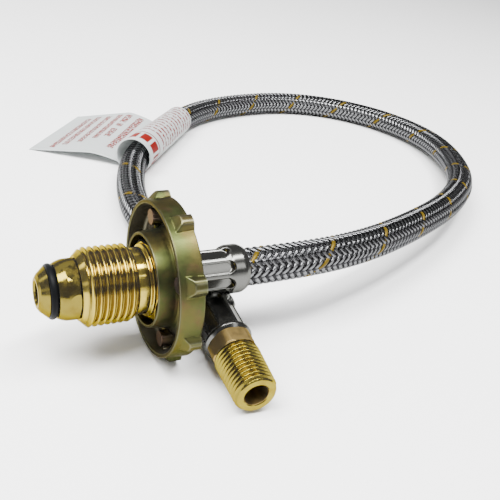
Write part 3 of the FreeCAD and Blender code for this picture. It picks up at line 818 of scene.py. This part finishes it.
# outlet nipple
nipple = {
    "profile": [  # from the flange outward, radius, fillet
        (-1.05, 4.9, 0),
        (0.05, 4.9, 0),
        (0.05, 6.7, 0),
        (0.45, 7.05, 0),
        (5.4, 7.05, 0),
        (5.8, 6.7, 0),
        (5.8, 6.36, 0),
        (6.3, 6.4, 0),
        (6.35, 6.86, 0),
        (20.4, 6.42, 0.3),
        (21.6, 5.6, 0.25),
        (21.6, 3.9, 0),
        (21.3, 3.6, 0.1),
        (9.6, 3.6, 0),
        (9.6, 2.2, 0),
    ],
    "spacing": 0.07,
    "segments": 180,
    "hexFlats": 13.0,
    "hexSpan": (0.05, 5.8),
    "hexInside": 6.4,
    "pitch": 1.411,
    "depth": 0.85,
    "crestFlat": 0.14,
    "rootFlat": 0.12,
    "threadSpan": (6.3, 21.5),
    "threadInside": 5.7,
    "coneStart": 6.35,
    "coneRadius": 6.86,
    "coneSlope": 32,  # the radius loses 1 in 32
    "boreOutside": 3.7,
}


def makeNipple(place):
    x, radius, angle = latheGrid(roundedProfile(nipple["profile"], nipple["spacing"]), nipple["segments"])
    hexed = between(x, *nipple["hexSpan"]) & (radius > nipple["hexInside"])
    radius = np.where(hexed, np.minimum(radius, hexRadius(angle, nipple["hexFlats"])), radius)
    rightHand = 1
    share = threadShare(x, angle, rightHand, nipple)
    cone = nipple["coneRadius"] - (x - nipple["coneStart"]) / nipple["coneSlope"]
    cut = between(x, *nipple["threadSpan"]) & (radius > nipple["threadInside"])
    radius = np.where(cut, np.minimum(radius, cone - nipple["depth"] * (1 - share)), radius)
    unpolishedLit = hexed | (radius < nipple["boreOutside"])  # hexagon and bore are rougher, and their lighter, greyer colour is painted light
    points, faces = latheMesh(x, radius, angle, place)
    return makeMesh(
        "threadedNipple", points, faces, nippleShader.material, "hose_set", ["outlet_nipple"],
        # stored masks: painted shade in the thread's root, and the hexagon and bore with their painted
        # light
        sharp=42, stored={"root": (cut * (1 - share)).ravel(), "unpolishedLit": unpolishedLit.ravel()},
    )


makeNut()
makeWheel()
print("coupling done")
mouth = np.array(hose["route"][-1])
outward = mouth - np.array(hose["route"][-2])
outward /= np.linalg.norm(outward)
flange = mouth + outward * ferrule["length"]
inletPlace = ((ferrule["inletStart"], 0, 0), (1, 0, 0))
makeFerrule("inletFerrule", "inlet_ferrule", inletPlace, ferrule["inletTurn"], ferrule["inletShorter"])
outletFerrule = makeFerrule("outletFerrule", "outlet_ferrule", (tuple(flange), tuple(-outward)), 0.0)
outletNipple = makeNipple((tuple(flange), tuple(outward)))
print("ends done")


# paper label: a strip that lies on the floor, goes under the hose and winds round it
label = {
    "openEnd": (54.6, 120.6),  # ends of the sleeve's axis on the table
    "tightEnd": (95.0, 168.2),
    "wide": 8.4,  # the sleeve's radius at either end
    "narrow": 7.2,
    "edges": [  # from the hose to the far end; rise and crest are (share of the way, height) of the arch
        {"near": (57.0, 125.0), "far": (15.3, 152.8), "rise": (0.22, 3.2), "crest": (0.42, 4.3)},
        {"near": (91.4, 163.9), "far": (48.6, 193.9), "rise": (0.24, 5.8), "crest": (0.46, 8.1)},
    ],
    "creaseRounding": (-0.03, -0.015, 0, 0.015, 0.03),  # the flag's height is the mean over these shifts
    "flagLift": 0.2,
    "sleeveLift": 0.4,
    "turns": 1.3,
    "settledTurn": 0.32,  # where the sleeve's edge runs square round the hose
    "inset": 0.2,
    "tuck": 0.3,  # how far the strip's end lies inside its start
    "tuckTurns": (0.45, 1.0),
    "thickness": 0.16,
    "columns": 54,
    "flagSteps": 70,
    "sleeveSteps": 150,
    "red": (0.12, 0.0022, 0.0005),
    "paper": (0.34, 0.362, 0.358),
    "strokePitch": 1.9,
    "printedRows": [  # middle, height, start and end of a row of broken marks
        (9.2, 2.7, 4, 46),
        (13.6, 2.7, 8, 48),
        (19.1, 2.7, 12, 48),
        (24.5, 2.8, 17, 49),
        (29.3, 3.1, 20, 30),
        (29.3, 3.1, 33.5, 37),
        (29.3, 3.1, 39, 49),
        (35.4, 3.2, 9, 49),
    ],
    "sleevePrintFrom": 14,  # beyond the flag
    "fine": {"pitch": 2.9, "share": 0.45, "start": 13.0},
    "rule": {"place": 10.6, "half": 0.35},
    "bars": {"pitch": 5.6, "share": 0.74, "place": 6.2, "half": 3.0},
}


# an arc through the edge's start, rise and crest, then straight down to the far end
def flagHeight(shares, edge):
    length = math.dist(edge["near"], edge["far"])
    (x1, y1), (x2, y2) = [(share * length, height) for share, height in (edge["rise"], edge["crest"])]
    scale = 2 * (x1 * y2 - x2 * y1)
    middleX = ((x1 ** 2 + y1 ** 2) * y2 - (x2 ** 2 + y2 ** 2) * y1) / scale
    middleY = ((x2 ** 2 + y2 ** 2) * x1 - (x1 ** 2 + y1 ** 2) * x2) / scale
    radius = math.hypot(middleX, middleY)
    arc = middleY + np.sqrt(np.clip(radius ** 2 - (shares * length - middleX) ** 2, 0, None))
    straight = y2 * (1 - shares) / (1 - edge["crest"][0])
    return np.where(shares < edge["crest"][0], arc, straight)


# paper's shader, with the place across and along the strip in mm
def makePaper(name):
    shader = Shader(name, Roughness=0.6, Subsurface_Weight=0.4, Subsurface_Scale=0.001)
    shader.set("Subsurface Radius", (1.0, 1.0, 1.0))
    shader.set("Specular IOR Level", 0.12)
    across, along = shader.stored("across"), shader.stored("along")
    place = shader.node("ShaderNodeCombineXYZ", [across, along, 0.0])
    return shader, across, along, place


def printOn(shader, printed):
    shader.set("Base Color", shader.mix(printed, label["paper"], label["red"]))
    return shader


def makePrintedRows():
    shader, across, along, place = makePaper("printedRows")
    gaps = (across / label["strokePitch"]).maths("FRACT").ramp(0.88, 0.8)
    strokes = shader.noise(1.05, 1, 0.5, place).ramp(0.4, 0.45) * gaps
    rows = 0.0
    for middle, height, start, end in label["printedRows"]:
        row = (along - middle).maths("ABSOLUTE").maths("LESS_THAN", height / 2)
        rows = row * across.maths("GREATER_THAN", start) * across.maths("LESS_THAN", end) + rows
    return printOn(shader, rows * strokes)


def makePrintedSleeve(flagLength):
    shader, across, along, place = makePaper("printedSleeve")
    fine, rule, bars = label["fine"], label["rule"], label["bars"]
    wound = along.maths("GREATER_THAN", flagLength + label["sleevePrintFrom"])
    lines = (across / fine["pitch"]).maths("FRACT").maths("LESS_THAN", fine["share"])
    lines = lines * across.maths("GREATER_THAN", fine["start"])
    finePrint = lines * shader.noise(0.8, 2, 0.6, place).ramp(0.42, 0.5)
    longRule = (across - rule["place"]).maths("ABSOLUTE").maths("LESS_THAN", rule["half"])
    blocks = (along / bars["pitch"]).maths("FRACT").maths("LESS_THAN", bars["share"])
    blocks = blocks * (across - bars["place"]).maths("ABSOLUTE").maths("LESS_THAN", bars["half"])
    return printOn(shader, (finePrint + longRule + blocks) * wound)


def partWay(pair, share):
    return pair[0] * (1 - share) + pair[1] * share


def layFlag(near, far, across):
    lift = studio["floor"] + label["flagLift"]
    shares = np.linspace(1, 0, label["flagSteps"])[:-1]
    heights = []
    for edge in label["edges"]:
        arches = [flagHeight(np.clip(shares + away, 0, 1), edge) for away in label["creaseRounding"]]
        heights.append(np.mean(arches, 0))
    rows = []
    for share, *edgeHeights in zip(shares, *heights):  # from the far edge to the hose
        row = []
        for place in across:
            inner = partWay(near, place)
            outer = partWay(far, place)
            height = np.array([0, 0, lift + partWay(edgeHeights, place)])
            row.append(inner + (outer - inner) * share + height)
        rows.append(row)
    return rows


def windSleeve(near, across):
    openEnd = np.array([*label["openEnd"], 0.0])
    axis = np.array([*label["tightEnd"], 0.0]) - openEnd
    full = np.linalg.norm(axis)
    axis /= full
    left = np.array([-axis[1], axis[0], 0])
    starts = [(point - openEnd) @ axis for point in near]
    offsets = [(point - openEnd) @ left for point in near]
    rows = []
    for turn in np.linspace(0, label["turns"], label["sleeveSteps"]):
        settled = smoothstep(turn, 0, label["settledTurn"])
        sag = (label["sleeveLift"] - label["flagLift"]) * (1 - settled)
        lift = studio["floor"] + label["sleeveLift"] - sag
        inset = label["inset"] + label["tuck"] * smoothstep(turn, *label["tuckTurns"])
        angle = turn * tau
        row = []
        for place in across:
            along = partWay(starts, place) * (1 - settled) + full * place * settled
            offset = partWay(offsets, place) * (1 - settled)
            radius = label["wide"] + (label["narrow"] - label["wide"]) * along / full - inset
            centre = openEnd + axis * along + left * offset + np.array([0, 0, lift + radius])
            down = np.array([0, 0, math.cos(angle) * radius])
            row.append(centre - left * math.sin(angle) * radius - down)
        rows.append(row)
    return rows


def makeLabel():
    across = np.linspace(0, 1, label["columns"])
    near = [np.array([*edge["near"], 0.0]) for edge in label["edges"]]
    far = [np.array([*edge["far"], 0.0]) for edge in label["edges"]]
    grid = np.array(layFlag(near, far, across) + windSleeve(near, across))
    steps = np.linalg.norm(np.diff(grid, axis=0), axis=2).mean(axis=1)
    travelled = np.concatenate([[0], np.cumsum(steps)])
    width = np.linalg.norm(near[1] - near[0])
    stored = {"across": np.tile(across * width, len(grid)), "along": np.repeat(travelled, len(across))}
    piece = makeMesh(
        "paperLabel", grid.reshape(-1, 3) * mm, gridFaces(*grid.shape[:2]), makePrintedRows().material,
        "hose_set", ["wrap_label"], sharp=60, stored=stored,
    )
    flagLength = float(np.linalg.norm(near[0] - far[0]))
    piece.data.materials.append(makePrintedSleeve(flagLength).material)
    area = sum(polygon.area for polygon in piece.data.polygons)
    thick = piece.modifiers.new("thickness", "SOLIDIFY")
    thick.thickness = label["thickness"] * mm
    thick.offset = 0
    thick.material_offset = 1  # the other side is printed on the sleeve only
    return piece, grid, float(travelled[-1]), area


paperLabel, labelGrid, labelLength, labelArea = makeLabel()

# spigot and ring keep their solids and only get their materials
for name, shader in (("bullnose_spigot", spigotShader), ("nose_o_ring", rubberShader)):
    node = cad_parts[name]
    for slot in node.material_slots:
        slot.material = shader.material
